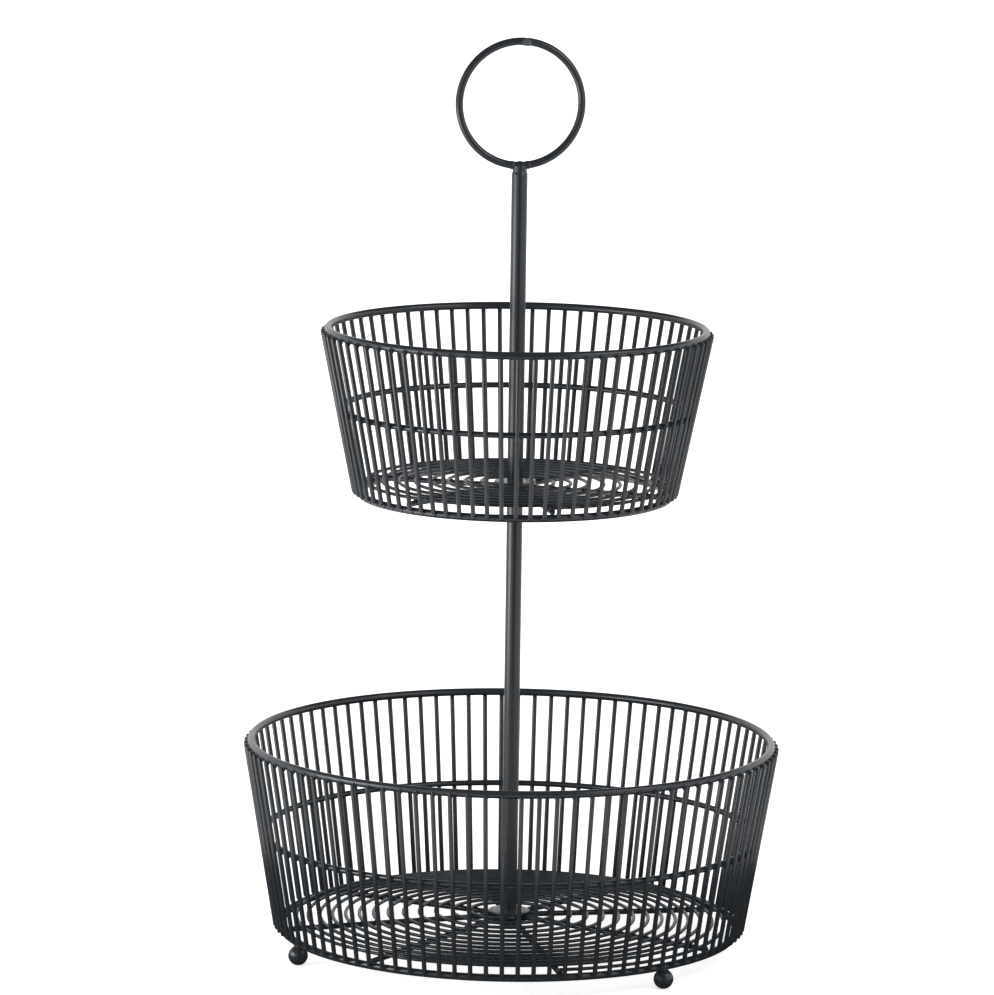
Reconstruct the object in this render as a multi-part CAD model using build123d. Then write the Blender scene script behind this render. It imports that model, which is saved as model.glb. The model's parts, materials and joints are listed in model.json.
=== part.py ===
from build123d import *
from math import asin, atan2, cos, dist, hypot, radians, sin, sqrt, tan
import os

# Tiered wire basket: a wide and a narrow round wire basket on one centre post, with a ring handle on top.
# The origin is on the floor, on the post's axis. +Z is up and -Y is the front.
# All lengths are in millimetres and include the powder coat.

# Rods and wires
rim_rod_radius = 2.15
base_rod_radius = 2.1
mid_rod_radius = 1.65
wall_wire_radius = 1.3
coil_wire_radius = 1.0
spoke_radius = 1.6

# How far a welded rod sinks into the rod or plate that carries it
weld_bite = 0.15

# Lower basket, radii to the middle of each rod and rises from the middle of its base ring
lower_base_radius = 128.5
lower_rim_radius = 146.2
lower_mid_rise = 53.1
lower_rim_rise = 105.8
lower_wire_count = 96

# Upper basket
upper_base_radius = 86.6
upper_rim_radius = 105.3
upper_mid_rise = 47.4
upper_rim_rise = 92.2
upper_wire_count = 72

# Height of the upper base ring over the lower one
tier_spacing = 247.1

# Wall wires start this far below the middle of the base rod and end this far above the middle of the rim rod
wire_foot_drop = 0.3
wire_top_rise = 0.3

# Ball feet under the lower base ring
foot_radius = 5.5
foot_flat_depth = 0.2
foot_weld_bite = 0.6
foot_angles = {"foot_ball_left": 203.9, "foot_ball_right": 311.4, "foot_ball_back": 77.7}

# Both floors are slightly domed: their spokes rise to the hub. The lower spokes butt against the inner side
# of their ring, and the upper ones end on top of theirs, this far past the middle of its rod.
lower_dome_rise = 4.2
lower_spoke_angles = [18.0, 53.5, 100.2, 144.3, 191.7, 233.0, 282.6, 330.8]

upper_dome_rise = 0.5
upper_spoke_overhang = 1.2
upper_spoke_angles = [51.2, 107.0, 160.3, 227.5, 283.3, 340.1]

# Spokes stop short of the screw in the middle of the hub
hub_spoke_inner_radius = 4.5

# Floor spirals, from the inner end out. The lower one is laid out to end this far inside the middle of its
# base ring, and the upper one this far outside it. The pitch narrows steadily, from its share of the mean.
lower_coil_inner_radius = 18.0
lower_coil_inset = 5.2
lower_coil_inner_pitch_share = 1.25
lower_coil_half_turns = 26
lower_coil_end_angle = 282.4
upper_coil_inner_radius = 15.0
upper_coil_overhang = 1.6
upper_coil_inner_pitch_share = 1.04
upper_coil_half_turns = 16
upper_coil_end_angle = 282.9
# The lower spiral's last quarter turn swings out towards the base ring instead, past a point this far inside
# the ring's middle and this many degrees before the end, to an end nearer to the ring
swing_inset = 3.5
swing_angle_left = 46.0
swing_end_inset = 1.5
# Both spirals lie this far to the left of the post's axis
coil_shift = 0.9

# Hub plates over the spokes and washers under them
hub_plate_radius = 11.75
hub_plate_thickness = 1.6
hub_washer_radius = 10.0
hub_washer_thickness = 1.2
screw_hole_clearance = 0.2

# Post: two tubes, joined by a stud through the upper hub
post_radius = 4.45
post_wall = 0.8
upper_post_length = 172.4
insert_length = 14.0
insert_clearance = 0.05
thread_clearance = 0.05
screw_radius = 3.0
screw_engagement = 10.0
screw_head_radius = 5.5
screw_head_height = 3.2
screw_socket_radius = 1.75
screw_socket_depth = 2.0
screw_head_fillet = 0.8

# Handle ring and the narrowed end of the post that holds it
handle_rod_radius = 2.15
handle_ring_radius = 34.5
handle_ring_turn = 10.0
saddle_plug_length = 12.0
saddle_neck_radius = 4.0
saddle_shoulder_height = 1.4
saddle_groove_rise = 1.2
saddle_lip_rise = 4.7
saddle_dome_height = 2.6

# Points measured along each half turn of a spiral
samples_per_half_turn = 24

# Heights worked out from the sizes above
foot_center_height = foot_radius - foot_flat_depth
lower_base_height = foot_center_height + foot_radius + base_rod_radius - foot_weld_bite
upper_base_height = lower_base_height + tier_spacing

post_bore_radius = post_radius - post_wall
insert_radius = post_bore_radius - insert_clearance
thread_bore_radius = screw_radius + thread_clearance
screw_hole_radius = screw_radius + screw_hole_clearance


# A point at a radius, an angle in degrees and a height
def polar_point(radius, angle, height):
    return Vector(radius * cos(radians(angle)), radius * sin(radians(angle)), height)


# A straight round rod between two points
def straight_rod(start, end, radius):
    line = end - start
    return Solid.make_cylinder(radius, line.length, Plane(origin=start, z_dir=line))


# A flat round ring of rod
def rod_ring(ring_radius, rod_radius, height):
    return Pos(0, 0, height) * Torus(ring_radius, rod_radius)


# A plate or washer with the screw's hole, standing on its lower face
def hub_disc(radius, thickness, bottom_height):
    disc = Solid.make_cylinder(radius, thickness, Plane(origin=(0, 0, bottom_height)))
    hole = Solid.make_cylinder(screw_hole_radius, thickness, Plane(origin=(0, 0, bottom_height)))
    return disc - hole


# A length of tube
def tube(outer_radius, inner_radius, bottom_height, length):
    plane = Plane(origin=(0, 0, bottom_height))
    return Solid.make_cylinder(outer_radius, length, plane) - Solid.make_cylinder(inner_radius, length, plane)


# The wall of one basket: three rings, with straight wires against their outer sides
class Wall:
    def __init__(self, base_height, base_radius, rim_radius, mid_rise, rim_rise, wire_count):
        self.base_height = base_height
        self.base_radius = base_radius
        self.rim_radius = rim_radius
        self.mid_height = base_height + mid_rise
        self.rim_height = base_height + rim_rise
        self.wire_count = wire_count
        # The wires' lean from the vertical, so that they touch the base and the rim alike
        run = rim_radius - base_radius
        rod_step = base_rod_radius - rim_rod_radius
        self.lean = atan2(run, rim_rise) - asin(rod_step / hypot(run, rim_rise))

    # Distance of a wire's middle from the post's axis at a height
    def wire_distance(self, height):
        seat = base_rod_radius + wall_wire_radius - weld_bite
        return self.base_radius + seat / cos(self.lean) + (height - self.base_height) * tan(self.lean)

    def base_ring(self):
        return rod_ring(self.base_radius, base_rod_radius, self.base_height)

    def rim_ring(self):
        return rod_ring(self.rim_radius, rim_rod_radius, self.rim_height)

    def mid_ring(self):
        seat = mid_rod_radius + wall_wire_radius - weld_bite
        ring_radius = self.wire_distance(self.mid_height) - seat / cos(self.lean)
        return rod_ring(ring_radius, mid_rod_radius, self.mid_height)

    # All the upright wires, the first one turned from the X axis by an angle
    def wires(self, first_angle):
        bottom = self.base_height - wire_foot_drop
        top = self.rim_height + wire_top_rise
        start = Vector(self.wire_distance(bottom), 0, bottom)
        end = Vector(self.wire_distance(top), 0, top)
        wire = straight_rod(start, end, wall_wire_radius)
        step = 360 / self.wire_count
        return Compound([Rot(0, 0, first_angle + step * index) * wire for index in range(self.wire_count)])


# The floor of one basket: straight spokes that rise to the hub, with a spiral of wire on top of them
class Floor:
    def __init__(self, name, spoke_outer_radius, spoke_outer_height, dome_rise, spoke_angles):
        self.name = name
        self.spoke_outer_radius = spoke_outer_radius
        self.spoke_outer_height = spoke_outer_height
        self.spoke_angles = spoke_angles
        self.hub_height = spoke_outer_height + dome_rise
        self.slope = dome_rise / (spoke_outer_radius - hub_spoke_inner_radius)

    # Height of a spoke's middle at a radius
    def spoke_height(self, radius):
        return self.hub_height - self.slope * (radius - hub_spoke_inner_radius)

    # Height of the middle of the spiral's wire at a radius
    def coil_height(self, radius):
        return self.spoke_height(radius) + spoke_radius + coil_wire_radius - weld_bite

    # Underside of the plate that lies on the spokes' inner ends
    def plate_height(self):
        return self.hub_height + spoke_radius - weld_bite

    # Upper side of the washer that bears on the spokes from below
    def washer_top(self):
        return self.spoke_height(hub_washer_radius) - spoke_radius + weld_bite

    def spokes(self):
        spokes = []
        for angle in self.spoke_angles:
            inner = polar_point(hub_spoke_inner_radius, angle, self.hub_height)
            outer = polar_point(self.spoke_outer_radius, angle, self.spoke_outer_height)
            spokes.append(straight_rod(inner, outer, spoke_radius))
        return Compound(spokes)

    # Points on the spiral's middle line, half a turn apart, from the inner end out, clockwise from above
    def coil_points(self, inner_radius, outer_radius, inner_pitch_share, half_turns, end_angle):
        turns = half_turns / 2
        mean_pitch = (outer_radius - inner_radius) / turns
        points = []
        for index in range(half_turns + 1):
            turn = index / 2
            pitches = inner_pitch_share * turn - (inner_pitch_share - 1) * turn**2 / turns
            radius = inner_radius + mean_pitch * pitches
            angle = end_angle + 180 * (half_turns - index)
            point = polar_point(radius, angle, self.coil_height(radius))
            points.append(point - Vector(coil_shift, 0, 0))
        return points

    # Half circles between the points, which run smoothly into each other
    def coil_arcs(self, points, end_angle):
        arcs = []
        for index in range(len(points) - 1):
            center = (points[index] + points[index + 1]) / 2
            side = coil_heading(end_angle, len(points) - 1 - index) * (points[index] - center).length
            arcs.append(ThreePointArc(points[index], center + side, points[index + 1]))
        return arcs

    # A quarter circle and two arcs that swing out from it, in the place of the last half circle
    def swing_arcs(self, last_arc, base_radius, end_angle):
        quarter = last_arc.trim(0, 0.5)
        passed_radius = base_radius - swing_inset
        end_radius = base_radius - swing_end_inset
        passed = polar_point(passed_radius, end_angle + swing_angle_left, self.coil_height(passed_radius))
        end = polar_point(end_radius, end_angle, self.coil_height(end_radius))
        first = TangentArc(quarter @ 1, passed, tangent=quarter % 1)
        second = TangentArc(passed, end, tangent=first % 1)
        return [quarter, first, second]

    # One unbroken wire along the arcs
    def coil(self, arcs):
        section = Plane(origin=arcs[0] @ 0, z_dir=arcs[0] % 0) * Circle(coil_wire_radius)
        print(f"{self.name}: least gap of the spiral to itself {least_gap(arcs):.2f} mm")
        return sweep(section, path=Wire(arcs))


# The sideways direction of a spiral's wire, so many half turns before its outer end
def coil_heading(end_angle, half_turns_left):
    return polar_point(1, end_angle + 180 * half_turns_left - 90, 0)


# Least gap between two stretches of the spiral, half a turn or more apart
def least_gap(arcs):
    samples = []
    for arc in arcs:
        samples += [tuple(arc @ (step / samples_per_half_turn)) for step in range(samples_per_half_turn)]
    gaps = []
    for index, sample in enumerate(samples):
        gaps += [dist(sample, other) for other in samples[index + samples_per_half_turn :]]
    return min(gaps) - 2 * coil_wire_radius


# A ball with a small flat to stand on
def foot_ball(angle):
    center = polar_point(lower_base_radius, angle, foot_center_height)
    ball = Pos(center) * Sphere(foot_radius)
    floor_plane = Plane(origin=(center.X, center.Y, 0), z_dir=(0, 0, -1))
    return ball - Solid.make_cylinder(foot_radius, foot_radius, floor_plane)


# A threaded insert, as a plain sleeve, inside a tube's end
def post_insert(bottom_height):
    return tube(insert_radius, thread_bore_radius, bottom_height, insert_length)


# The screw from below, with a round head and a socket. Its head bears on the washer.
def base_screw(head_top, shank_top):
    head_bottom = head_top - screw_head_height
    head = Solid.make_cylinder(screw_head_radius, screw_head_height, Plane(origin=(0, 0, head_bottom)))
    head = fillet(head.edges().sort_by(Axis.Z)[0], screw_head_fillet)
    shank = Solid.make_cylinder(screw_radius, shank_top - head_top, Plane(origin=(0, 0, head_top)))
    socket_plane = Plane(origin=(0, 0, head_bottom))
    socket = extrude(socket_plane * RegularPolygon(screw_socket_radius, 6), amount=screw_socket_depth)
    return head + shank - socket


def joining_stud(bottom, top):
    return Solid.make_cylinder(screw_radius, top - bottom, Plane(origin=(0, 0, bottom)))


# The ring stands on the saddle's groove, upright and turned a little from the front
def handle_ring(rod_radius, bottom_height):
    ring = Rot(90, 0, 0) * Torus(handle_ring_radius, rod_radius)
    height = bottom_height + handle_rod_radius + handle_ring_radius
    return Pos(0, 0, height) * Rot(0, 0, handle_ring_turn) * ring


# The narrowed end of the post: a plug in the tube, a shoulder, and a domed neck with a groove for the ring
def handle_saddle(post_top, shoulder_top, ring_bottom):
    plug_bottom = post_top - saddle_plug_length
    tip_height = ring_bottom + saddle_lip_rise
    dome_base = tip_height - saddle_dome_height
    dome_radius = (saddle_neck_radius**2 + saddle_dome_height**2) / (2 * saddle_dome_height)
    arc_height = dome_radius - sqrt(dome_radius**2 - (saddle_neck_radius / 2) ** 2)
    outline = Polyline(
        (saddle_neck_radius, 0, dome_base),
        (saddle_neck_radius, 0, shoulder_top),
        (post_radius, 0, post_top),
        (insert_radius, 0, post_top),
        (insert_radius, 0, plug_bottom),
        (0, 0, plug_bottom),
        (0, 0, tip_height),
    )
    dome = ThreePointArc(
        (0, 0, tip_height),
        (saddle_neck_radius / 2, 0, tip_height - arc_height),
        (saddle_neck_radius, 0, dome_base),
    )
    body = revolve(make_face([*outline.edges(), dome]), axis=Axis.Z)
    return body - handle_ring(handle_rod_radius - weld_bite, ring_bottom)


lower_wall = Wall(
    lower_base_height, lower_base_radius, lower_rim_radius, lower_mid_rise, lower_rim_rise, lower_wire_count
)
upper_wall = Wall(
    upper_base_height, upper_base_radius, upper_rim_radius, upper_mid_rise, upper_rim_rise, upper_wire_count
)

lower_spoke_end = lower_base_radius - base_rod_radius + weld_bite
lower_floor = Floor(
    "lower floor", lower_spoke_end, lower_base_height + spoke_radius, lower_dome_rise, lower_spoke_angles
)
lower_coil_points = lower_floor.coil_points(
    lower_coil_inner_radius,
    lower_base_radius - lower_coil_inset,
    lower_coil_inner_pitch_share,
    lower_coil_half_turns,
    lower_coil_end_angle,
)
lower_coil_arcs = lower_floor.coil_arcs(lower_coil_points, lower_coil_end_angle)
swing = lower_floor.swing_arcs(lower_coil_arcs[-1], lower_base_radius, lower_coil_end_angle)
lower_coil = lower_floor.coil(lower_coil_arcs[:-1] + swing)

upper_spoke_seat = base_rod_radius + spoke_radius - weld_bite
upper_floor = Floor(
    "upper floor",
    upper_base_radius + upper_spoke_overhang,
    upper_base_height + upper_spoke_seat,
    upper_dome_rise,
    upper_spoke_angles,
)
upper_coil_points = upper_floor.coil_points(
    upper_coil_inner_radius,
    upper_base_radius + upper_coil_overhang,
    upper_coil_inner_pitch_share,
    upper_coil_half_turns,
    upper_coil_end_angle,
)
upper_coil = upper_floor.coil(upper_floor.coil_arcs(upper_coil_points, upper_coil_end_angle))

# Heights up the post: it starts on the lower plate, and the upper hub is clamped between its two tubes
base_washer_bottom = lower_floor.washer_top() - hub_washer_thickness
lower_post_foot = lower_floor.plate_height() + hub_plate_thickness
lower_post_top = upper_floor.washer_top() - hub_washer_thickness
upper_post_foot = upper_floor.plate_height() + hub_plate_thickness
upper_post_top = upper_post_foot + upper_post_length
saddle_shoulder_top = upper_post_top + saddle_shoulder_height
handle_ring_bottom = saddle_shoulder_top + saddle_groove_rise

nodes = {
    "lower_rim_ring": lower_wall.rim_ring(),
    "lower_mid_ring": lower_wall.mid_ring(),
    "lower_base_ring": lower_wall.base_ring(),
    "lower_wall_wires": lower_wall.wires(180 / lower_wire_count),
    "lower_floor_coil": lower_coil,
    "lower_floor_spokes": lower_floor.spokes(),
    "lower_hub_plate": hub_disc(hub_plate_radius, hub_plate_thickness, lower_floor.plate_height()),
    "lower_hub_washer": hub_disc(hub_washer_radius, hub_washer_thickness, base_washer_bottom),
    "base_screw": base_screw(base_washer_bottom, lower_post_foot + screw_engagement),
    "upper_rim_ring": upper_wall.rim_ring(),
    "upper_mid_ring": upper_wall.mid_ring(),
    "upper_base_ring": upper_wall.base_ring(),
    "upper_wall_wires": upper_wall.wires(0),
    "upper_floor_coil": upper_coil,
    "upper_floor_spokes": upper_floor.spokes(),
    "upper_hub_plate": hub_disc(hub_plate_radius, hub_plate_thickness, upper_floor.plate_height()),
    "upper_hub_washer": hub_disc(hub_washer_radius, hub_washer_thickness, lower_post_top),
    "lower_post": tube(post_radius, post_bore_radius, lower_post_foot, lower_post_top - lower_post_foot),
    "upper_post": tube(post_radius, post_bore_radius, upper_post_foot, upper_post_length),
    "lower_post_foot_insert": post_insert(lower_post_foot),
    "lower_post_top_insert": post_insert(lower_post_top - insert_length),
    "upper_post_foot_insert": post_insert(upper_post_foot),
    "joining_stud": joining_stud(lower_post_top - screw_engagement, upper_post_foot + screw_engagement),
    "handle_saddle": handle_saddle(upper_post_top, saddle_shoulder_top, handle_ring_bottom),
    "handle_ring": handle_ring(handle_rod_radius, handle_ring_bottom),
}
for foot_name, foot_angle in foot_angles.items():
    nodes[foot_name] = foot_ball(foot_angle)

os.makedirs("parts", exist_ok=True)
for node_name, shape in nodes.items():
    export_step(shape, f"parts/{node_name}.step")
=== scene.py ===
import json
from math import asin, atan2, cos, hypot, pi, radians, sin, sqrt, tan

import bmesh
import bpy
from mathutils import Matrix, Vector


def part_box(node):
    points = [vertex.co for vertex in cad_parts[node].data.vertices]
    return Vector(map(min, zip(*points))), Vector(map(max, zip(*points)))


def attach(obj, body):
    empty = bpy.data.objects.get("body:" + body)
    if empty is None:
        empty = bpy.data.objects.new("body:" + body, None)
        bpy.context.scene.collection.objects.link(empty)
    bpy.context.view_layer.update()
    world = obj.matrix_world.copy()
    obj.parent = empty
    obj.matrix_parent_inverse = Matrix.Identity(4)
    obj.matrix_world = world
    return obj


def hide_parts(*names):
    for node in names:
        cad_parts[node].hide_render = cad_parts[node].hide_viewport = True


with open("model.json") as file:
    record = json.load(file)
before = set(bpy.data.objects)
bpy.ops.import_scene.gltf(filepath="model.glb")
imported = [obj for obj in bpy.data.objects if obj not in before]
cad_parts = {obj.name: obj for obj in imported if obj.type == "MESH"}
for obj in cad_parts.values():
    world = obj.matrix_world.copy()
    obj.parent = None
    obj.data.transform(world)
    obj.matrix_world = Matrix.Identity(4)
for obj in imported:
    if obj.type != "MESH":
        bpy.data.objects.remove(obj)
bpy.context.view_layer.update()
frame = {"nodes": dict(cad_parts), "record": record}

mm = 0.001


# Camera, fitted to the photograph's frame of 994 by 995 pixels: it stands in front of the post and looks a
# little down on it
image_width = 994
camera_focal_pixels = 6250.08
camera_sensor_mm = 36.0
camera_near = 0.1
camera_far = 100.0
camera_distance = 3451.47 * mm
camera_height = 815.38 * mm
camera_pitch = radians(9.191)
camera_roll = radians(0.823)
camera_yaw = radians(0.166)
camera_azimuth = radians(-0.45)


def place_camera():
    data = bpy.data.cameras.new("camera")
    data.sensor_fit = "HORIZONTAL"
    data.sensor_width = camera_sensor_mm
    data.lens = camera_focal_pixels / image_width * camera_sensor_mm
    data.clip_start = camera_near
    data.clip_end = camera_far
    camera = bpy.data.objects.new("camera", data)
    bpy.context.scene.collection.objects.link(camera)
    right = Vector((1, 0, 0))
    forward = Vector((0, cos(camera_pitch), -sin(camera_pitch)))
    up = Vector((0, sin(camera_pitch), cos(camera_pitch)))
    rolled_right = right * cos(camera_roll) + up * sin(camera_roll)
    rolled_up = up * cos(camera_roll) - right * sin(camera_roll)
    turn = Matrix.Rotation(camera_azimuth, 4, "Z")
    yaw = Matrix.Rotation(camera_yaw, 4, "Z")
    axes = Matrix((rolled_right, rolled_up, -forward)).transposed().to_4x4()
    place = Matrix.Translation((0, -camera_distance, camera_height))
    camera.matrix_world = turn @ place @ yaw @ axes
    bpy.context.scene.camera = camera


place_camera()


# One colour from its sRGB hex value, as the linear values that a node takes
def linear(hex_value):
    channels = [int(hex_value[i : i + 2], 16) / 255 for i in (1, 3, 5)]
    curve = [c / 12.92 if c <= 0.04045 else ((c + 0.055) / 1.055) ** 2.4 for c in channels]
    return (*curve, 1.0)


white = linear("#ffffff")


# Adds one node with its settings, and links named inputs to other nodes' outputs
def add_node(tree, kind, settings=None, values=None, links=None):
    node = tree.nodes.new(kind)
    for name, value in (settings or {}).items():
        setattr(node, name, value)
    for name, value in (values or {}).items():
        node.inputs[name].default_value = value
    for name, output in (links or {}).items():
        tree.links.new(output, node.inputs[name])
    return node


def new_material(name):
    material = bpy.data.materials.new(name)
    material.use_nodes = True
    material.node_tree.nodes.clear()
    return material, material.node_tree


# Noise in the object's own space, from 0 to 1
def add_noise(tree, size, detail):
    place = add_node(tree, "ShaderNodeTexCoord").outputs["Object"]
    noise = add_node(
        tree, "ShaderNodeTexNoise", values={"Scale": 1 / size, "Detail": detail}, links={"Vector": place}
    )
    return noise.outputs["Fac"]


def add_math(tree, operation, first, second):
    return add_node(tree, "ShaderNodeMath", {"operation": operation}, links={0: first, 1: second}).outputs[0]


# Spreads a value from 0 to 1 over a range
def add_range(tree, value, low, high):
    spread = add_node(
        tree, "ShaderNodeMapRange", values={"To Min": low, "To Max": high}, links={"Value": value}
    )
    return spread.outputs["Result"]


# Satin black polyester powder coat over steel wire, sprayed and baked: it flows out to a fine orange peel,
# which breaks up the edges of its reflections, and lies a little glossier or duller from place to place
coat_color = "#2b3035"
# A lighter copy of the coat's colour: painted sheen on the handle ring's ground butt weld
weld_sheen_coat_color = "#505457"
coat_roughness = (0.2, 0.27)
gloss_patch_size = 14 * mm
gloss_patch_detail = 3.0
peel_size = 1.2 * mm
peel_detail = 2.0
peel_depth = 0.03 * mm
peel_strength = 0.05


def powder_coat(name, color):
    material, tree = new_material(name)
    bump = add_node(
        tree,
        "ShaderNodeBump",
        values={"Strength": peel_strength, "Distance": peel_depth},
        links={"Height": add_noise(tree, peel_size, peel_detail)},
    )
    gloss = add_range(tree, add_noise(tree, gloss_patch_size, gloss_patch_detail), *coat_roughness)
    shader = add_node(
        tree,
        "ShaderNodeBsdfPrincipled",
        values={"Base Color": linear(color)},
        links={"Normal": bump.outputs["Normal"], "Roughness": gloss},
    )
    add_node(tree, "ShaderNodeOutputMaterial", links={"Surface": shader.outputs["BSDF"]})
    return material


# Bright zinc electroplate on turned steel: a cool grey metal with a cloudy sheen
zinc_color = "#b9b8b2"
zinc_roughness = (0.28, 0.42)
zinc_cloud_size = 2.5 * mm
zinc_cloud_detail = 4.0


def zinc_plate():
    material, tree = new_material("bright_zinc_plate_on_turned_steel")
    shader = add_node(
        tree,
        "ShaderNodeBsdfPrincipled",
        values={"Base Color": linear(zinc_color), "Metallic": 1.0},
        links={
            "Roughness": add_range(tree, add_noise(tree, zinc_cloud_size, zinc_cloud_detail), *zinc_roughness)
        },
    )
    add_node(tree, "ShaderNodeOutputMaterial", links={"Surface": shader.outputs["BSDF"]})
    return material


coat = powder_coat("satin_black_powder_coat", coat_color)
# Over the ring's butt weld, which was ground flat, the coat is painted lighter: a painted sheen, standing in
# for the light that the weld's flat face catches
weld_sheen_coat = powder_coat("powder_coat_with_painted_weld_sheen", weld_sheen_coat_color)
zinc = zinc_plate()
slots = {part["node"]: part["material_slot"] for part in frame["record"]["subparts"]}
for name, node in frame["nodes"].items():
    node.data.materials.clear()
    node.data.materials.append(zinc if slots[name] == "zinc_plated_steel" else coat)


# Sizes of the rods and wires, as in the frame
rim_rod_radius = 2.15 * mm
base_rod_radius = 2.1 * mm
mid_rod_radius = 1.65 * mm
wall_wire_radius = 1.3 * mm
coil_wire_radius = 1.0 * mm
spoke_radius = 1.6 * mm
weld_bite = 0.15 * mm

# The wall wires are ground back to their welds: they end above the middle of the floor's rod and below the
# middle of the rim's
wire_foot_rise = 0.6 * mm
wire_top_drop = 0.6 * mm


def polar_point(radius, angle, height):
    return Vector((radius * cos(angle), radius * sin(angle), height))


# Puts a finished shape in the scene, as a coated piece that rides on the stand
def add_piece(name, shape, *replaced):
    bmesh.ops.recalc_face_normals(shape, faces=shape.faces[:])
    mesh = bpy.data.meshes.new(name)
    for face in shape.faces:
        face.smooth = True
    shape.to_mesh(mesh)
    shape.free()
    mesh.materials.append(coat)
    piece = bpy.data.objects.new(name, mesh)
    bpy.context.scene.collection.objects.link(piece)
    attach(piece, "root")
    if replaced:
        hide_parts(*replaced)
    return piece


# One basket's sizes: its rings as the frame has them, and the line of its leaning wires
class Basket:
    def __init__(self, tier, base_radius, rim_radius, mid_rise, rim_rise, wire_count, first_angle):
        self.tier = tier
        low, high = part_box(f"{tier}_base_ring")
        self.base_height = (low.z + high.z) / 2
        self.base_radius = base_radius
        self.rim_radius = rim_radius
        self.mid_height = self.base_height + mid_rise
        self.rim_height = self.base_height + rim_rise
        self.wire_count = wire_count
        self.first_angle = first_angle
        run = rim_radius - base_radius
        rod_step = base_rod_radius - rim_rod_radius
        self.lean = atan2(run, rim_rise) - asin(rod_step / hypot(run, rim_rise))
        self.mid_radius = self.wire_distance(self.mid_height) - self.seat(mid_rod_radius)

    # How far a wire's middle lies outside a rod's middle, at one height
    def seat(self, rod_radius):
        return (rod_radius + wall_wire_radius - weld_bite) / cos(self.lean)

    def wire_distance(self, height):
        return self.base_radius + self.seat(base_rod_radius) + (height - self.base_height) * tan(self.lean)


lower_basket = Basket(
    "lower",
    base_radius=128.5 * mm,
    rim_radius=146.2 * mm,
    mid_rise=53.1 * mm,
    rim_rise=105.8 * mm,
    wire_count=96,
    first_angle=pi / 96,
)
upper_basket = Basket(
    "upper",
    base_radius=86.6 * mm,
    rim_radius=105.3 * mm,
    mid_rise=47.4 * mm,
    rim_rise=92.2 * mm,
    wire_count=72,
    first_angle=0,
)


# Copies of one shape, evenly round the post's axis
def repeat_round(shape, count):
    bmesh.ops.spin(
        shape,
        geom=shape.verts[:] + shape.edges[:] + shape.faces[:],
        cent=(0, 0, 0),
        axis=(0, 0, 1),
        angle=2 * pi * (count - 1) / count,
        steps=count - 1,
        use_duplicate=True,
    )


wire_segments = 12
wire_end_bevel = 0.85 * mm
bevel_segments = 3


def round_edges(shape, edges, width):
    bmesh.ops.bevel(
        shape, geom=edges, offset=width, affect="EDGES", segments=bevel_segments, profile=0.5, material=-1
    )


# A straight length of drawn wire, cut to length, whose ends the coat has rounded
def add_straight_wire(shape, start, end, radius):
    turn = (end - start).to_track_quat("Z", "Y").to_matrix().to_4x4()
    made = bmesh.ops.create_cone(
        shape,
        cap_ends=True,
        segments=wire_segments,
        radius1=radius,
        radius2=radius,
        depth=(end - start).length,
        matrix=Matrix.Translation((start + end) / 2) @ turn,
    )["verts"]
    edges = [edge for edge in shape.edges if edge.verts[0] in made]
    rims = [edge for edge in edges if any(len(face.verts) == wire_segments for face in edge.link_faces)]
    round_edges(shape, rims, wire_end_bevel)


def make_wall_wires(basket):
    shape = bmesh.new()
    bottom = basket.base_height + wire_foot_rise
    top = basket.rim_height - wire_top_drop
    start = Vector((basket.wire_distance(bottom), 0, bottom))
    end = Vector((basket.wire_distance(top), 0, top))
    add_straight_wire(shape, start, end, wall_wire_radius)
    bmesh.ops.rotate(shape, verts=shape.verts[:], matrix=Matrix.Rotation(basket.first_angle, 3, "Z"))
    repeat_round(shape, basket.wire_count)
    return add_piece(f"{basket.tier}_wall_wire_set", shape, f"{basket.tier}_wall_wires")


# A small rounded bead with its three half sizes. Those that repeat hundreds of times have few faces.
def add_bead(shape, sizes, place, segments=8, rings=5):
    scale = Matrix.Diagonal((*sizes, 1))
    bmesh.ops.create_uvsphere(shape, u_segments=segments, v_segments=rings, radius=1, matrix=place @ scale)


# The coat fills the narrow corners at each spot weld between a wire and a ring: half sizes out from the post,
# along the ring and up the wire. Those at a floor's ring are small, for the wires are ground back there.
spot_weld_size = (0.75 * mm, 1.6 * mm, 1.75 * mm)
base_weld_size = (0.55 * mm, 1.45 * mm, 1.3 * mm)
base_weld_rise = 0.5 * mm
# At the rim the weld lies a little lower, where the wire still reaches past the rod's middle
rim_weld_drop = 1.0 * mm


def make_spot_welds(basket):
    shape = bmesh.new()
    rings = [
        (basket.base_radius, base_rod_radius, basket.base_height, base_weld_size, base_weld_rise),
        (basket.mid_radius, mid_rod_radius, basket.mid_height, spot_weld_size, 0),
        (basket.rim_radius, rim_rod_radius, basket.rim_height, spot_weld_size, -rim_weld_drop),
    ]
    lean = Matrix.Rotation(basket.lean, 4, "Y")
    outward = Vector((cos(basket.lean), 0, -sin(basket.lean)))
    upward = Vector((sin(basket.lean), 0, cos(basket.lean)))
    for radius, rod_radius, height, size, rise in rings:
        contact = Vector((radius, 0, height)) + outward * (rod_radius - weld_bite / 2)
        add_bead(shape, size, Matrix.Translation(contact + upward * rise) @ lean)
    bmesh.ops.rotate(shape, verts=shape.verts[:], matrix=Matrix.Rotation(basket.first_angle, 3, "Z"))
    repeat_round(shape, basket.wire_count)
    return add_piece(f"{basket.tier}_wall_welds", shape)


for basket in (lower_basket, upper_basket):
    make_wall_wires(basket)
    make_spot_welds(basket)


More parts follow.
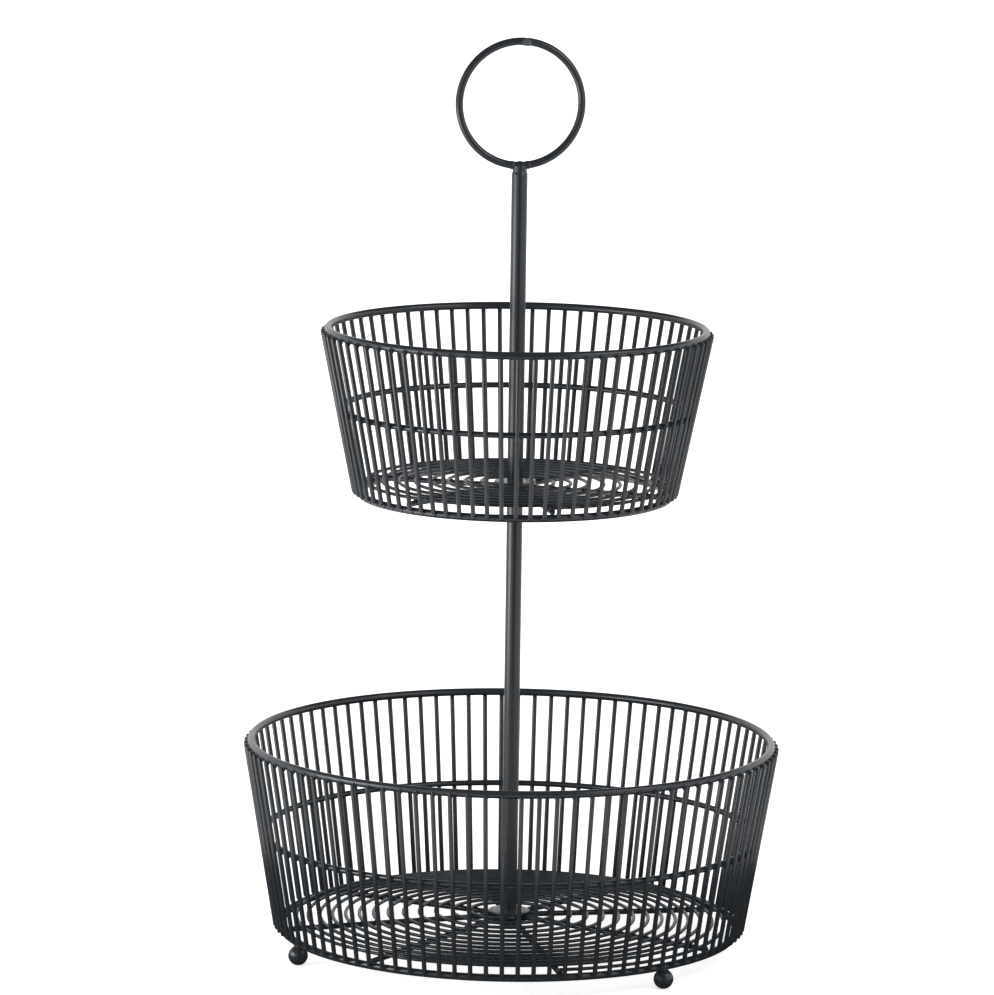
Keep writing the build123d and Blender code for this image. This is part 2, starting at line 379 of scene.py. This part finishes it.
# A stretch of a floor's spiral: from its start, where it has a level heading, it turns clockwise from above
# in a circle's arc to its end, and rises or falls evenly
class Arc:
    def __init__(self, start, end, heading):
        self.start = start
        self.end = end
        step = end - start
        right = Vector((heading.y, -heading.x, 0))
        along = step.dot(heading)
        across = step.dot(right)
        self.radius = (along**2 + across**2) / (2 * across)
        self.angle = 2 * atan2(across, along)
        self.center = start + right * self.radius
        self.end_heading = Matrix.Rotation(-self.angle, 3, "Z") @ heading

    # Distance from the post's axis at which the arc crosses a direction, or nothing
    def crossing(self, angle):
        direction = polar_point(1, angle, 0)
        along = self.center.xy.dot(direction.xy)
        distance = along + sqrt(self.radius**2 - self.center.xy.length_squared + along**2)
        first = (self.start - self.center).xy
        found = (direction * distance - self.center).xy
        turned = first.angle_signed(found) % (2 * pi)
        return distance if turned < self.angle else None


# One basket's floor: straight spokes that rise to the hub, and on them a spiral of half circles, wound out
# clockwise from above, with a pitch that narrows steadily
class Floor:
    def __init__(self, tier, spoke_outer_radius, spoke_outer_height, dome_rise, spoke_angles):
        self.tier = tier
        self.spoke_outer_radius = spoke_outer_radius
        self.hub_height = spoke_outer_height + dome_rise
        self.slope = dome_rise / (spoke_outer_radius - hub_spoke_inner_radius)
        self.spoke_angles = [radians(angle) for angle in spoke_angles]

    def spoke_height(self, radius):
        return self.hub_height - self.slope * (radius - hub_spoke_inner_radius)

    # A point of the spiral's middle line
    def coil_point(self, radius, angle):
        rise = spoke_radius + coil_wire_radius - weld_bite
        return polar_point(radius, angle, self.spoke_height(radius) + rise)

    def wind(self, inner_radius, outer_radius, inner_pitch_share, half_turns, end_angle):
        turns = half_turns / 2
        mean_pitch = (outer_radius - inner_radius) / turns
        self.end_angle = end_angle
        start_angle = end_angle + pi * half_turns
        heading = polar_point(1, start_angle - pi / 2, 0)
        self.first_heading = heading
        start = self.coil_point(inner_radius, start_angle) - coil_shift
        self.arcs = []
        for index in range(1, half_turns + 1):
            turn = index / 2
            pitches = inner_pitch_share * turn - (inner_pitch_share - 1) * turn**2 / turns
            end = self.coil_point(inner_radius + mean_pitch * pitches, start_angle - pi * index)
            end -= coil_shift
            self.arcs.append(Arc(start, end, heading))
            start = end
            heading = -heading

    # The last quarter turn swings out instead, past a point, to an end nearer to the ring
    def swing_out(self, passed_radius, angle_left, end_radius):
        half = self.arcs.pop()
        heading = self.arcs[-1].end_heading
        middle = (half.start + half.end) / 2 + heading * half.radius
        passed = self.coil_point(passed_radius, self.end_angle + angle_left)
        start = half.start
        for end in (middle, passed, self.coil_point(end_radius, self.end_angle)):
            self.arcs.append(Arc(start, end, heading))
            start = end
            heading = self.arcs[-1].end_heading


hub_spoke_inner_radius = 4.5 * mm
# Both spirals lie a little to the left of the post's axis
coil_shift = Vector((0.9 * mm, 0, 0))
lower_floor = Floor(
    "lower",
    spoke_outer_radius=lower_basket.base_radius - base_rod_radius + weld_bite,
    spoke_outer_height=lower_basket.base_height + spoke_radius,
    dome_rise=4.2 * mm,
    spoke_angles=[18.0, 53.5, 100.2, 144.3, 191.7, 233.0, 282.6, 330.8],
)
lower_floor.wind(
    inner_radius=18.0 * mm,
    outer_radius=lower_basket.base_radius - 5.2 * mm,
    inner_pitch_share=1.25,
    half_turns=26,
    end_angle=radians(282.4),
)
lower_floor.swing_out(
    passed_radius=lower_basket.base_radius - 3.5 * mm,
    angle_left=radians(46),
    end_radius=lower_basket.base_radius - 1.5 * mm,
)
upper_floor = Floor(
    "upper",
    spoke_outer_radius=upper_basket.base_radius + 1.2 * mm,
    spoke_outer_height=upper_basket.base_height + base_rod_radius + spoke_radius - weld_bite,
    dome_rise=0.5 * mm,
    spoke_angles=[51.2, 107.0, 160.3, 227.5, 283.3, 340.1],
)
upper_floor.wind(
    inner_radius=15.0 * mm,
    outer_radius=upper_basket.base_radius + 1.6 * mm,
    inner_pitch_share=1.04,
    half_turns=16,
    end_angle=radians(282.9),
)

coil_segments = 10
coil_step = 4.0 * mm
coil_least_steps = 4
coil_end_length = 0.4 * mm
coil_end_scale = 0.55


# Rounds off the end of a wire: its last loop of edges moves out and shrinks, and a cap closes it
def close_wire_end(shape, edges, heading):
    grown = bmesh.ops.extrude_edge_only(shape, edges=edges)["geom"]
    verts = [item for item in grown if isinstance(item, bmesh.types.BMVert)]
    edges = [item for item in grown if isinstance(item, bmesh.types.BMEdge)]
    middle = sum((vert.co for vert in verts), Vector()) / len(verts)
    bmesh.ops.scale(shape, vec=[coil_end_scale] * 3, space=Matrix.Translation(-middle), verts=verts)
    bmesh.ops.translate(shape, vec=heading * coil_end_length, verts=verts)
    loop = [edge for edge in edges if all(vert in verts for vert in edge.verts)]
    bmesh.ops.edgeloop_fill(shape, edges=loop)


# The floor's spiral: one wire along the arcs
def make_coil(floor):
    shape = bmesh.new()
    first_heading = floor.first_heading
    turn = first_heading.to_track_quat("Z", "Y").to_matrix().to_4x4()
    bmesh.ops.create_circle(
        shape,
        segments=coil_segments,
        radius=coil_wire_radius,
        matrix=Matrix.Translation(floor.arcs[0].start) @ turn,
    )
    first_edges = shape.edges[:]
    edges = first_edges
    verts = shape.verts[:]
    for arc in floor.arcs:
        steps = round(arc.angle * arc.radius / coil_step) + coil_least_steps
        spun = bmesh.ops.spin(
            shape,
            geom=verts + edges,
            cent=arc.center,
            axis=(0, 0, -1),
            angle=arc.angle,
            steps=steps,
            dvec=Vector((0, 0, (arc.end.z - arc.start.z) / steps)),
        )["geom_last"]
        verts = [item for item in spun if isinstance(item, bmesh.types.BMVert)]
        edges = [item for item in spun if isinstance(item, bmesh.types.BMEdge)]
    close_wire_end(shape, edges, floor.arcs[-1].end_heading)
    close_wire_end(shape, first_edges, -first_heading)
    return add_piece(f"{floor.tier}_floor_spiral", shape, f"{floor.tier}_floor_coil")


# Beads where the spiral is welded to the spokes: half sizes along the spoke, across it and upwards
spoke_weld_size = (1.2 * mm, 1.6 * mm, 0.5 * mm)


def make_floor_welds(floor):
    shape = bmesh.new()
    for angle in floor.spoke_angles:
        for arc in floor.arcs:
            distance = arc.crossing(angle)
            if distance:
                contact = polar_point(distance, angle, floor.spoke_height(distance) + spoke_radius)
                add_bead(shape, spoke_weld_size, Matrix.Translation(contact) @ Matrix.Rotation(angle, 4, "Z"))
    return add_piece(f"{floor.tier}_floor_welds", shape)


def make_spokes(floor):
    shape = bmesh.new()
    for angle in floor.spoke_angles:
        inner, outer = [
            polar_point(radius, angle, floor.spoke_height(radius))
            for radius in (hub_spoke_inner_radius, floor.spoke_outer_radius)
        ]
        add_straight_wire(shape, inner, outer, spoke_radius)
    return add_piece(f"{floor.tier}_floor_spoke_set", shape, f"{floor.tier}_floor_spokes")


for floor in (lower_floor, upper_floor):
    make_coil(floor)
    make_floor_welds(floor)
    make_spokes(floor)


hub_plate_radius = 11.75 * mm
screw_hole_radius = 3.2 * mm
plate_steps = 72
plate_bevel = 0.45 * mm
sharp_angle = radians(35)


# A stamped hub plate, with the soft edges of thick coat: its section is turned round the axis
def make_hub_plate(tier):
    shape = bmesh.new()
    low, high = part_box(f"{tier}_hub_plate")
    corners = [
        (screw_hole_radius, low.z),
        (hub_plate_radius, low.z),
        (hub_plate_radius, high.z),
        (screw_hole_radius, high.z),
    ]
    verts = [shape.verts.new((distance, 0, height)) for distance, height in corners]
    for first, second in zip(verts, verts[1:] + verts[:1]):
        shape.edges.new((first, second))
    bmesh.ops.spin(
        shape,
        geom=shape.verts[:] + shape.edges[:],
        cent=(0, 0, 0),
        axis=(0, 0, 1),
        angle=2 * pi,
        steps=plate_steps,
        use_merge=True,
    )
    sharp = [edge for edge in shape.edges if edge.is_manifold and edge.calc_face_angle() > sharp_angle]
    round_edges(shape, sharp, plate_bevel)
    return add_piece(f"{tier}_hub_disc", shape, f"{tier}_hub_plate")


for tier in ("lower", "upper"):
    make_hub_plate(tier)


# The handle ring's welds: a collar over its butt joint near the top, and one on either side of the post's
# end, where the melt has crept along the rod. Angles run round the ring from its right side. Each collar's
# size is its half length, how far it stands proud of the rod all round, and how far it is set in towards the
# ring's middle. The butt weld is flush outside, where it was ground.
handle_rod_radius = 2.15 * mm
handle_ring_radius = 34.5 * mm
handle_ring_turn = radians(10)
butt_weld_angle = radians(85.5)
butt_weld_size = (6.4 * mm, 0.2 * mm, 0.2 * mm)
seat_weld_angle = radians(7.5)
seat_weld_size = (2.4 * mm, 0.25 * mm, 0)


def make_handle_welds(name, collars):
    shape = bmesh.new()
    low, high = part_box("handle_ring")
    center = Vector((0, 0, (low.z + high.z) / 2))
    for angle, (half_length, proud, inset) in collars:
        place = (
            Matrix.Translation(center)
            @ Matrix.Rotation(handle_ring_turn, 4, "Z")
            @ Matrix.Rotation(-angle, 4, "Y")
            @ Matrix.Translation((handle_ring_radius - inset, 0, 0))
        )
        width = handle_rod_radius + proud
        add_bead(shape, (width, width, half_length), place, segments=24, rings=16)
    return add_piece(name, shape)


ring_bottom = radians(-90)
seat_welds = [(ring_bottom + side * seat_weld_angle, seat_weld_size) for side in (-1, 1)]
make_handle_welds("handle_seat_welds", seat_welds)
butt_weld = make_handle_welds("handle_butt_weld", [(butt_weld_angle, butt_weld_size)])
# The butt weld takes the lighter coat, whose colour is a painted sheen
butt_weld.data.materials[0] = weld_sheen_coat

# The melt between each ball foot and the base ring: half sizes out from the post, along the ring and upwards
foot_weld_size = (2.4 * mm, 3.4 * mm, 1.1 * mm)


def make_foot_welds():
    shape = bmesh.new()
    for name in ("foot_ball_left", "foot_ball_right", "foot_ball_back"):
        low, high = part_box(name)
        middle = (low + high) / 2
        turn = Matrix.Rotation(atan2(middle.y, middle.x), 4, "Z")
        place = Matrix.Translation((middle.x, middle.y, high.z)) @ turn
        add_bead(shape, foot_weld_size, place, segments=20, rings=12)
    return add_piece("foot_welds", shape)


make_foot_welds()


# White to the camera and in reflections, and softer where it only lights
world_seen = 1.0
world_light = 0.75


def light_world():
    world = bpy.data.worlds.new("studio")
    bpy.context.scene.world = world
    world.use_nodes = True
    tree = world.node_tree
    tree.nodes.clear()
    path = add_node(tree, "ShaderNodeLightPath")
    seen = add_math(tree, "MAXIMUM", path.outputs["Is Camera Ray"], path.outputs["Is Glossy Ray"])
    seen = add_math(tree, "MAXIMUM", seen, path.outputs["Is Transmission Ray"])
    background = add_node(
        tree,
        "ShaderNodeBackground",
        values={"Color": white},
        links={"Strength": add_range(tree, seen, world_light, world_seen)},
    )
    add_node(tree, "ShaderNodeOutputWorld", links={"Surface": background.outputs["Background"]})


light_world()


camera_side = radians(-90)
light_target_height = 0.25


# A soft box that lights the stand and shows in its gloss, but not in the picture. Its azimuth runs
# anticlockwise from the camera's side, seen from above.
def soft_box(name, azimuth, distance, height, size, brightness):
    data = bpy.data.lights.new(name, "AREA")
    data.shape = "RECTANGLE"
    data.size, data.size_y = size
    data.energy = brightness * pi * size[0] * size[1]
    light = bpy.data.objects.new(name, data)
    bpy.context.scene.collection.objects.link(light)
    light.location = polar_point(distance, camera_side + azimuth, height)
    aim = Vector((0, 0, light_target_height)) - light.location
    light.rotation_euler = aim.to_track_quat("-Z", "Y").to_euler()
    light.visible_camera = False
    return light


soft_box("left_key_box", azimuth=radians(-67), distance=0.75, height=0.19, size=(0.5, 0.32), brightness=5.6)
soft_box("right_fill_box", azimuth=radians(60), distance=1.2, height=1.2, size=(0.9, 0.5), brightness=3.0)


# Black cloth that only gloss sees: it keeps the faces dark that look at the camera or up at the ceiling
def hang_black_cloth(name, shape):
    mesh = bpy.data.meshes.new(name)
    shape.to_mesh(mesh)
    shape.free()
    mesh.materials.append(black_cloth)
    cloth = bpy.data.objects.new(name, mesh)
    bpy.context.scene.collection.objects.link(cloth)
    cloth.visible_camera = False
    cloth.visible_diffuse = False
    cloth.visible_shadow = False
    cloth.visible_transmission = False


# Black molton, which gives almost no light back
molton_color = "#141414"


def molton():
    material, tree = new_material("black_molton_cloth")
    shader = add_node(tree, "ShaderNodeBsdfDiffuse", values={"Color": linear(molton_color)})
    add_node(tree, "ShaderNodeOutputMaterial", links={"Surface": shader.outputs["BSDF"]})
    return material


black_cloth = molton()
flag_left = camera_side - radians(18)
flag_right = camera_side + radians(30)
flag_distance = 0.65
flag_height = 1.5
flag_steps = 24
cloth_segments = 64
ceiling_radius = 2.3
# The black disc under the stand is painted shade for the floor in the stand's shadow, seen only in gloss
painted_floor_shade_radius = 0.26
painted_floor_shade_height = 0.2 * mm


# A curved flag that stands in front of the stand, under the camera's view
def stand_front_flag():
    shape = bmesh.new()
    foot = shape.verts.new(polar_point(flag_distance, flag_left, 0))
    head = shape.verts.new(polar_point(flag_distance, flag_left, flag_height))
    shape.edges.new((foot, head))
    bmesh.ops.spin(
        shape,
        geom=shape.verts[:] + shape.edges[:],
        cent=(0, 0, 0),
        axis=(0, 0, 1),
        angle=flag_right - flag_left,
        steps=flag_steps,
    )
    hang_black_cloth("front_flag", shape)


def spread_round_cloth(name, radius, height):
    shape = bmesh.new()
    bmesh.ops.create_circle(
        shape,
        cap_ends=True,
        segments=cloth_segments,
        radius=radius,
        matrix=Matrix.Translation((0, 0, height)),
    )
    hang_black_cloth(name, shape)


stand_front_flag()
spread_round_cloth("black_ceiling", ceiling_radius, flag_height)
# A black disc on the floor, seen only in gloss, is painted shade: it stands in for the stand's shadow on the
# floor, so that the undersides and the feet show it dark in their gloss
spread_round_cloth("painted_floor_shade", painted_floor_shade_radius, painted_floor_shade_height)


# Pale floor: it shows white to the camera where nothing shades it, with the stand's faint shadow near the
# feet, and it shows a weaker glow in the coat's gloss
floor_color = "#f4f4f4"
floor_roughness = 0.9
floor_half_size = 20.0
floor_glow = (0.6, 0.9)
floor_glow_distance = (0.15, 1.0)
floor_gloss_glow = 0.25


def lay_floor():
    mesh = bpy.data.meshes.new("floor")
    floor = bpy.data.objects.new("floor", mesh)
    bpy.context.scene.collection.objects.link(floor)
    shape = bmesh.new()
    bmesh.ops.create_grid(shape, x_segments=1, y_segments=1, size=floor_half_size)
    shape.to_mesh(mesh)
    shape.free()
    material, tree = new_material("pale_floor")
    place = add_node(tree, "ShaderNodeTexCoord").outputs["Object"]
    distance = add_node(tree, "ShaderNodeVectorMath", {"operation": "LENGTH"}, links={0: place})
    near, far = floor_glow_distance
    weak, full = floor_glow
    fade = add_node(
        tree,
        "ShaderNodeMapRange",
        {"interpolation_type": "SMOOTHSTEP"},
        {"From Min": near, "From Max": far, "To Min": weak, "To Max": full},
        {"Value": distance.outputs["Value"]},
    )
    path = add_node(tree, "ShaderNodeLightPath")
    seen = add_math(tree, "MULTIPLY", fade.outputs["Result"], path.outputs["Is Camera Ray"])
    mirrored = add_range(tree, path.outputs["Is Glossy Ray"], 0, floor_gloss_glow)
    shader = add_node(
        tree,
        "ShaderNodeBsdfPrincipled",
        values={"Base Color": linear(floor_color), "Roughness": floor_roughness, "Emission Color": white},
        links={"Emission Strength": add_math(tree, "ADD", seen, mirrored)},
    )
    add_node(tree, "ShaderNodeOutputMaterial", links={"Surface": shader.outputs["BSDF"]})
    mesh.materials.append(material)


lay_floor()
bpy.context.scene.view_settings.view_transform = "Standard"
